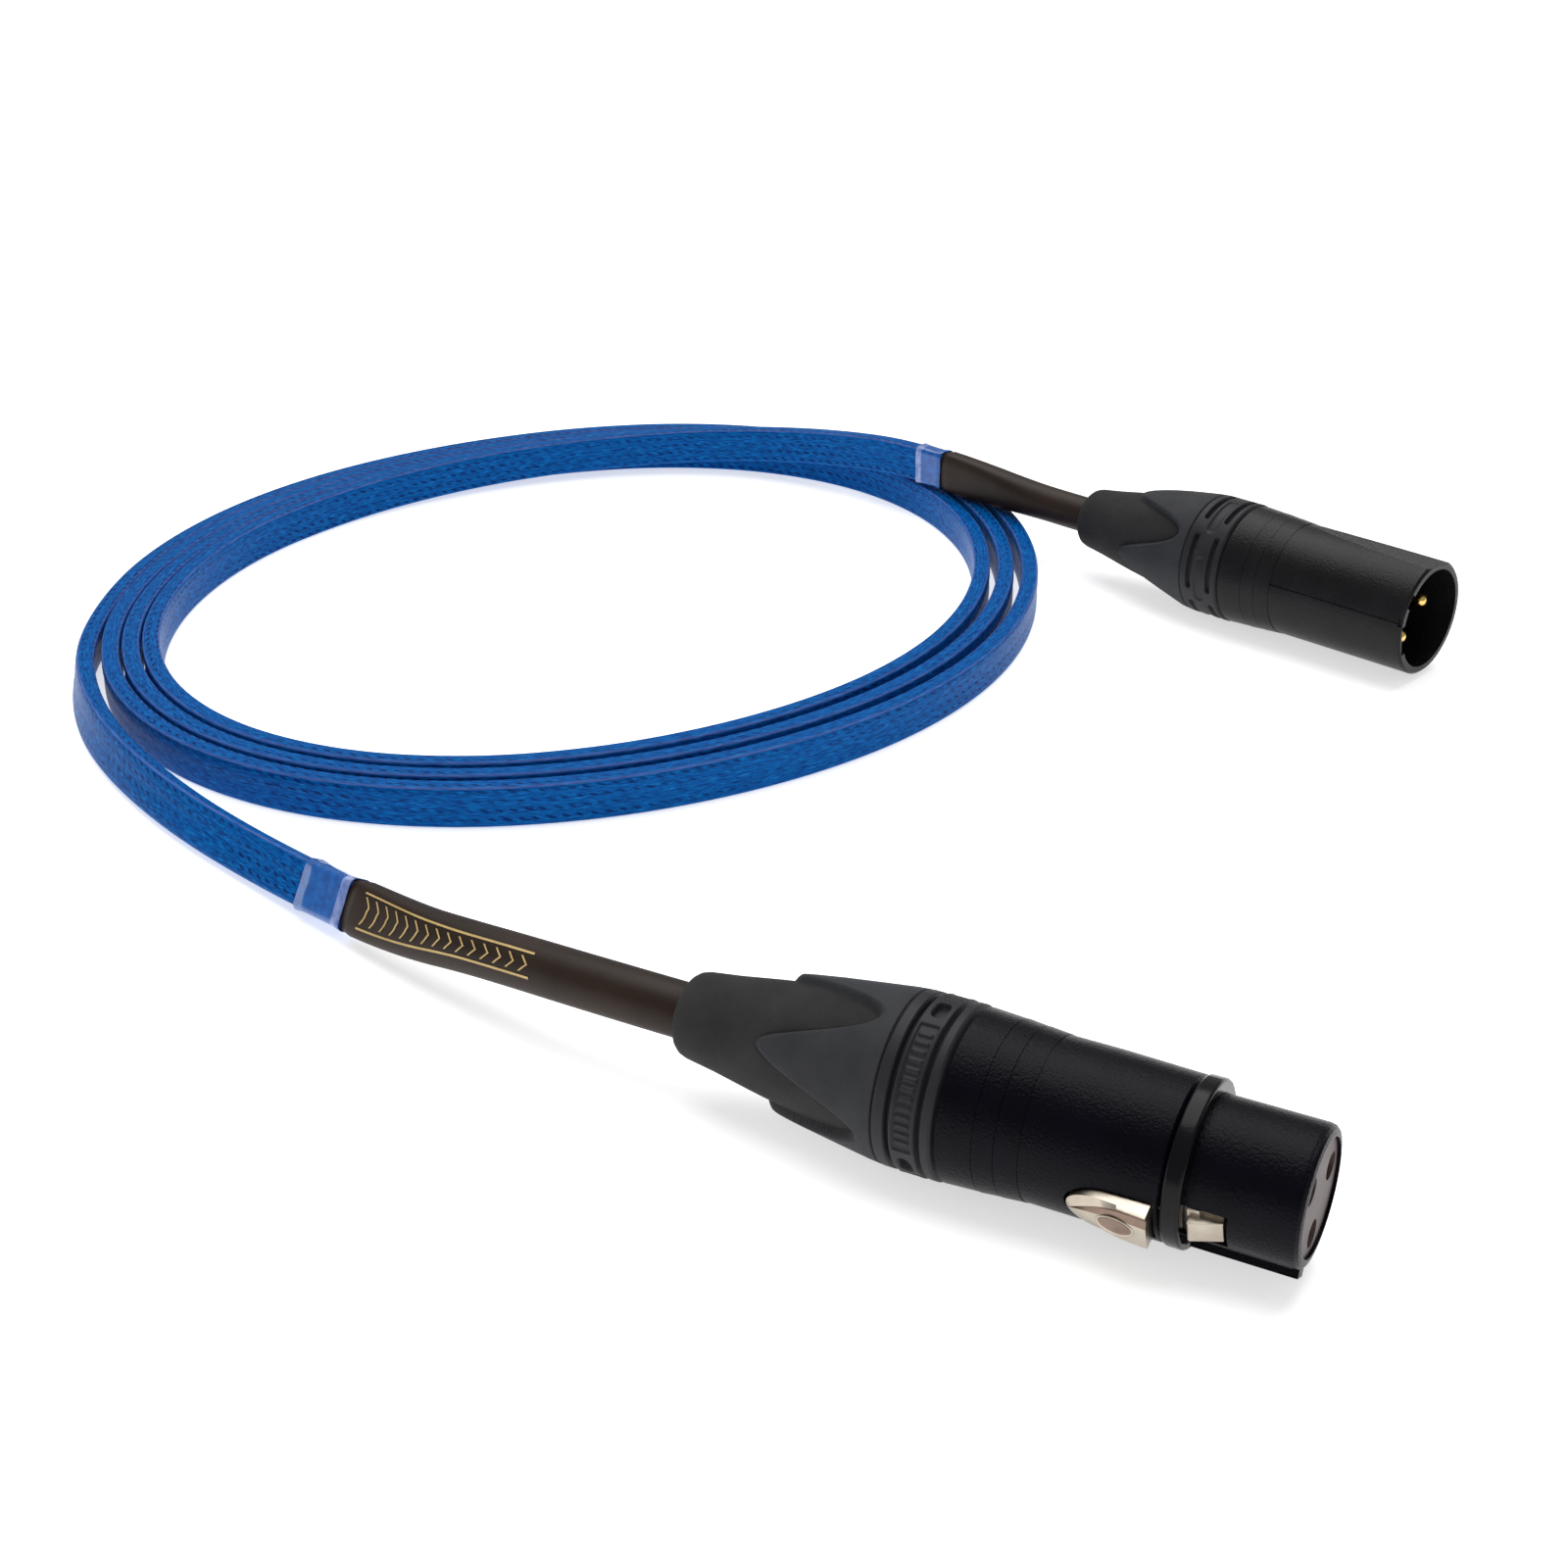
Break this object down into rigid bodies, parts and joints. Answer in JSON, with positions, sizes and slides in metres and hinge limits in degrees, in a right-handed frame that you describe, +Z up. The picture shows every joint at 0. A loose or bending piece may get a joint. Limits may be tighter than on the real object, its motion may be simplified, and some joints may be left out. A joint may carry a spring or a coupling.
{
  "type": "xlr microphone cable",
  "caption": "Coiled flat braided audio cable with a latching female and a male three-pole round plug at its ends.",
  "frame": {"origin": "centre of the whole assembly's footprint, on the surface that it lies on", "axes": "+Z up; +X along the male plug from its boot to its open end; +Y horizontal, from the female plug's side of the coil towards the male plug's side"},
  "size_m": [0.2671, 0.1872, 0.0207],
  "materials": {
    "jacket": "glossy blue braid under a clear jacket",
    "clear_band": "clear shrunk band, glossy",
    "sleeve": "satin heat-shrunk sleeve with pale gold rules",
    "core": "plain",
    "conductor": "plain insulation",
    "boot": "matte moulded",
    "bushing": "satin moulded",
    "chuck": "plain moulded",
    "shell": "black satin, fine pebble grain",
    "front_ring": "black gloss",
    "insert": "matte",
    "contact": "gold plated",
    "latch": "satin nickel",
    "pin_steel": "ground",
    "spring_steel": "drawn wire"
  },
  "bodies": {
    "root": {"cable_coil": "jacket", "lead_in": "jacket", "lead_out": "jacket", "female_end_collar": "clear_band", "male_end_collar": "clear_band", "female_sleeve": "sleeve", "male_sleeve": "sleeve", "female_cable_core": "core", "male_cable_core": "core", "female_conductors": "conductor", "male_conductors": "conductor", "female_shell": "shell", "male_shell": "shell", "female_front_ring": "front_ring", "female_insert": "insert", "male_insert": "insert", "female_contacts": "contact", "male_pins": "contact", "latch_pin": "pin_steel", "latch_spring": "spring_steel"},
    "latch": {"latch_lever": "latch"},
    "female_clamp": {"female_chuck": "chuck"},
    "female_backend": {"female_boot": "boot", "female_bushing": "bushing"},
    "male_clamp": {"male_chuck": "chuck"},
    "male_backend": {"male_boot": "boot", "male_bushing": "bushing"}
  },
  "joints": [
    {"name": "latch_press", "type": "hinge", "parent": "root", "child": "latch", "pos_m": [0.10723, -0.07756, 0.0082], "axis": [0.0837, -0.3146, 0.9455], "range_deg": [0, 5.5], "stiffness_Nm_per_rad": 0.02, "springref_deg": -5.73, "deforming": ["latch_spring"]},
    {"name": "female_bushing_travel", "type": "slide", "parent": "root", "child": "female_clamp", "axis": [-0.9664, -0.2571, 0], "range_m": [0, 0.004]},
    {"name": "female_bushing_turn", "type": "hinge", "parent": "female_clamp", "child": "female_backend", "pos_m": [0.07702, -0.07914, 0.01035], "axis": [-0.9664, -0.2571, 0], "range_deg": [0, 1440]},
    {"name": "male_bushing_travel", "type": "slide", "parent": "root", "child": "male_clamp", "axis": [-1, 0, 0], "range_m": [0, 0.004]},
    {"name": "male_bushing_turn", "type": "hinge", "parent": "male_clamp", "child": "male_backend", "pos_m": [0.01239, 0.08112, 0.01035], "axis": [-1, 0, 0], "range_deg": [0, 1440]}
  ],
  "couplings": [
    {"joint": "female_bushing_turn", "follows": "female_bushing_travel", "rad_per_m": 6283.2},
    {"joint": "male_bushing_turn", "follows": "male_bushing_travel", "rad_per_m": 6283.2}
  ]
}
